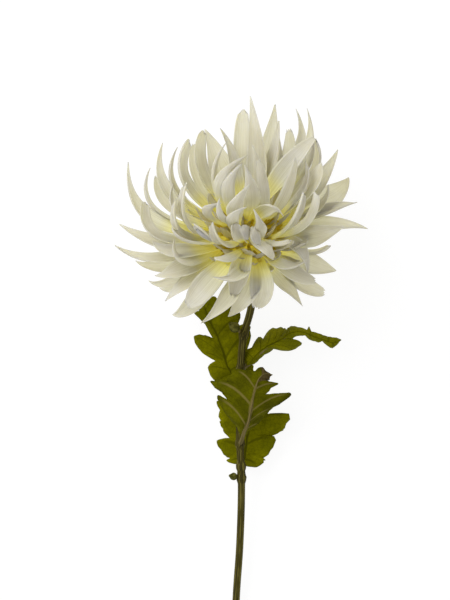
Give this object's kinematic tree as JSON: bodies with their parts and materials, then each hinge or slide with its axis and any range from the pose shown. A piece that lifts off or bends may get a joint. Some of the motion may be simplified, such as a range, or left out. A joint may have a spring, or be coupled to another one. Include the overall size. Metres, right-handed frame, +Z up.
{
  "type": "cut chrysanthemum",
  "caption": "Cut chrysanthemum lying on its side: a large shaggy white flower head on a green stem with lobed leaves and small side buds.",
  "frame": {"origin": "middle of the bounding box's base, on the surface that the flower lies on", "axes": "+Z up from the surface, +Y from the cut end of the stem towards the flower head, +X to the right seen from above"},
  "size_m": [0.15, 0.3506, 0.1061],
  "materials": {
    "petal": "soft matte cream white, yellow towards the base",
    "leaf": "satin olive green with lighter veins",
    "stem": "ridged olive brown green, satin",
    "bract": "matte pale olive green"
  },
  "bodies": {
    "root": {"stem": "stem", "involucre": "bract", "outer_petal_01": "petal", "outer_petal_02": "petal", "outer_petal_03": "petal", "outer_petal_04": "petal", "outer_petal_05": "petal", "outer_petal_06": "petal", "outer_petal_07": "petal", "outer_petal_08": "petal", "outer_petal_09": "petal", "outer_petal_10": "petal", "outer_petal_11": "petal", "outer_petal_12": "petal", "outer_petal_13": "petal", "outer_petal_14": "petal", "outer_petal_15": "petal", "outer_petal_16": "petal", "outer_petal_17": "petal", "outer_petal_18": "petal", "outer_petal_19": "petal", "outer_petal_20": "petal", "outer_petal_21": "petal", "outer_petal_22": "petal", "outer_petal_23": "petal", "outer_petal_24": "petal", "outer_petal_25": "petal", "outer_petal_26": "petal", "outer_petal_27": "petal", "outer_petal_28": "petal", "outer_petal_29": "petal", "outer_petal_30": "petal", "outer_petal_31": "petal", "outer_petal_32": "petal", "outer_petal_33": "petal", "outer_petal_34": "petal", "outer_petal_35": "petal", "outer_petal_36": "petal", "outer_petal_37": "petal", "outer_petal_38": "petal", "outer_petal_39": "petal", "outer_petal_40": "petal", "outer_petal_41": "petal", "outer_petal_42": "petal", "outer_petal_43": "petal", "outer_petal_44": "petal", "back_petal_01": "petal", "back_petal_02": "petal", "back_petal_03": "petal", "back_petal_04": "petal", "back_petal_05": "petal", "back_petal_06": "petal", "back_petal_07": "petal", "receptacle_with_florets": "petal", "leaf_upper_left": "leaf", "leaf_right": "leaf", "leaf_front": "leaf", "leaf_lower_back": "leaf", "side_bud_upper": "bract", "side_bud_lower": "bract"}
  },
  "joints": []
}
